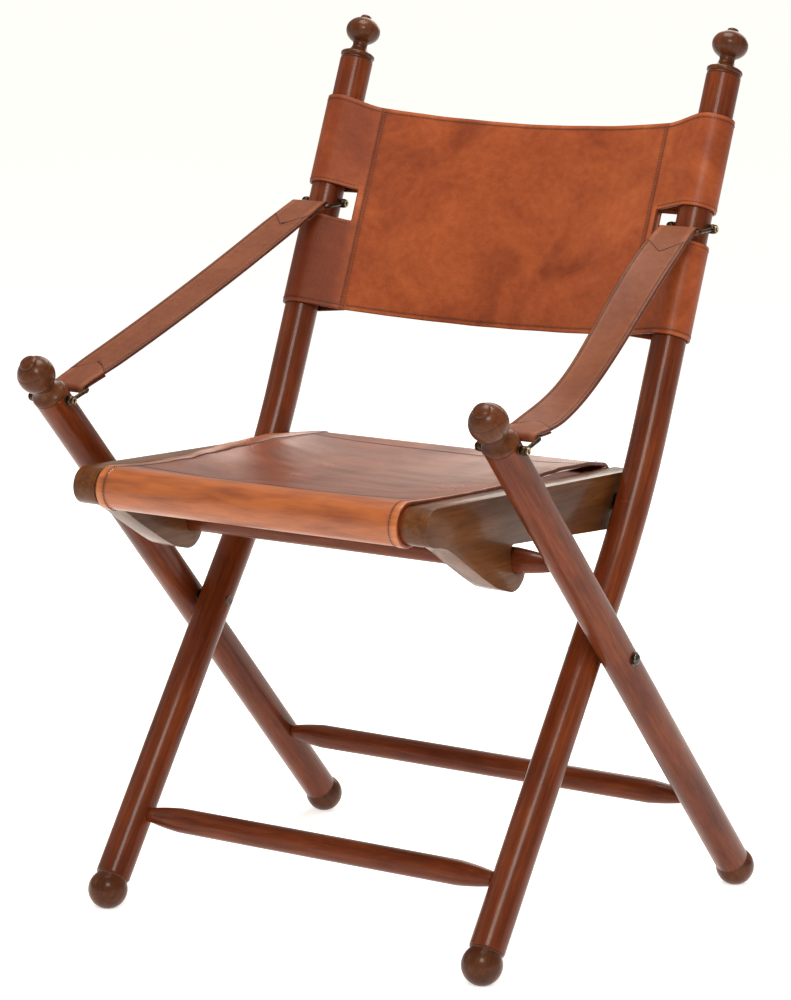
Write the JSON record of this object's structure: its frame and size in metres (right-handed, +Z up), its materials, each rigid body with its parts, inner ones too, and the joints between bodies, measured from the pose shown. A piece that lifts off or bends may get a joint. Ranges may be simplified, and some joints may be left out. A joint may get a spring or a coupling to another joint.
{
  "type": "folding campaign armchair",
  "caption": "Folding scissor armchair of turned dark wood with a leather seat that lifts, a leather back sling and leather arm straps on metal bails.",
  "frame": {"origin": "centre of the footprint on the floor", "axes": "+Z up, the sitter faces -Y, +X is the sitter's left, the object is symmetric across X"},
  "size_m": [0.585, 0.5647, 0.9025],
  "materials": {
    "stained_hardwood": "dark reddish-brown stained hardwood, satin lacquer",
    "tan_leather": "waxed tan leather, mottled, satin",
    "strap_leather": "tan-brown strap leather, satin",
    "dark_bronze": "dark antique bronze",
    "dark_steel": "dark steel",
    "plug_wood": "redder stained hardwood plug"
  },
  "bodies": {
    "back_frame": {"back_leather": "tan_leather", "front_stretcher": "stained_hardwood", "left_arm_strap": "strap_leather", "left_back_finial": "stained_hardwood", "left_back_pin": "dark_bronze", "left_back_pin_inner_washer": "dark_bronze", "left_back_pin_outer_washer": "dark_bronze", "left_back_pole": "stained_hardwood", "left_barrel_nut": "dark_steel", "left_front_foot": "stained_hardwood", "left_pole_plug": "plug_wood", "left_scissor_nut": "dark_steel", "left_scissor_spacer": "dark_steel", "left_seat_bolt": "dark_steel", "left_seat_bolt_washer": "dark_steel", "left_seat_spacer": "dark_steel", "right_arm_strap": "strap_leather", "right_back_finial": "stained_hardwood", "right_back_pin": "dark_bronze", "right_back_pin_inner_washer": "dark_bronze", "right_back_pin_outer_washer": "dark_bronze", "right_back_pole": "stained_hardwood", "right_barrel_nut": "dark_steel", "right_front_foot": "stained_hardwood", "right_pole_plug": "plug_wood", "right_scissor_nut": "dark_steel", "right_scissor_spacer": "dark_steel", "right_seat_bolt": "dark_steel", "right_seat_bolt_washer": "dark_steel", "right_seat_spacer": "dark_steel"},
    "arm_frame": {"left_arm_knob": "stained_hardwood", "left_arm_pin": "dark_bronze", "left_arm_pin_inner_washer": "dark_bronze", "left_arm_pin_outer_washer": "dark_bronze", "left_arm_post": "stained_hardwood", "left_rear_foot": "stained_hardwood", "left_scissor_bolt": "dark_steel", "left_scissor_washer": "dark_steel", "rear_stretcher": "stained_hardwood", "right_arm_knob": "stained_hardwood", "right_arm_pin": "dark_bronze", "right_arm_pin_inner_washer": "dark_bronze", "right_arm_pin_outer_washer": "dark_bronze", "right_arm_post": "stained_hardwood", "right_rear_foot": "stained_hardwood", "right_scissor_bolt": "dark_steel", "right_scissor_washer": "dark_steel", "seat_stretcher": "stained_hardwood"},
    "seat": {"front_seat_bar": "stained_hardwood", "left_seat_rail": "stained_hardwood", "rear_seat_bar": "stained_hardwood", "right_seat_rail": "stained_hardwood", "seat_leather": "tan_leather"},
    "left_arm_bail": {"left_arm_bail": "dark_bronze"},
    "left_back_bail": {"left_back_bail": "dark_bronze"},
    "right_arm_bail": {"right_arm_bail": "dark_bronze"},
    "right_back_bail": {"right_back_bail": "dark_bronze"}
  },
  "joints": [
    {"name": "fold", "type": "hinge", "parent": "back_frame", "child": "arm_frame", "pos_m": [0, -0.0087, 0.2942], "axis": [-1, 0, 0], "range_deg": [0, 62], "deforming": ["left_arm_strap", "right_arm_strap"]},
    {"name": "seat_lift", "type": "hinge", "parent": "back_frame", "child": "seat", "pos_m": [0, 0.0799, 0.4315], "axis": [-1, 0, 0], "range_deg": [0, 75]},
    {"name": "left_arm_bail_swing", "type": "hinge", "parent": "arm_frame", "child": "left_arm_bail", "pos_m": [-0.264, -0.2379, 0.5321], "axis": [-1, 0, 0], "range_deg": [0, 10]},
    {"name": "left_back_bail_swing", "type": "hinge", "parent": "back_frame", "child": "left_back_bail", "pos_m": [-0.2265, 0.1925, 0.702], "axis": [1, 0, 0], "range_deg": [0, 14]},
    {"name": "right_arm_bail_swing", "type": "hinge", "parent": "arm_frame", "child": "right_arm_bail", "pos_m": [0.264, -0.2379, 0.5321], "axis": [-1, 0, 0], "range_deg": [0, 10]},
    {"name": "right_back_bail_swing", "type": "hinge", "parent": "back_frame", "child": "right_back_bail", "pos_m": [0.2265, 0.1925, 0.702], "axis": [1, 0, 0], "range_deg": [0, 14]}
  ],
  "couplings": [
    {"joint": "seat_lift", "follows": "fold", "ratio": 1.2},
    {"joint": "left_arm_bail_swing", "follows": "fold", "ratio": 0.16},
    {"joint": "left_back_bail_swing", "follows": "fold", "ratio": 0.22},
    {"joint": "right_arm_bail_swing", "follows": "fold", "ratio": 0.16},
    {"joint": "right_back_bail_swing", "follows": "fold", "ratio": 0.22}
  ]
}
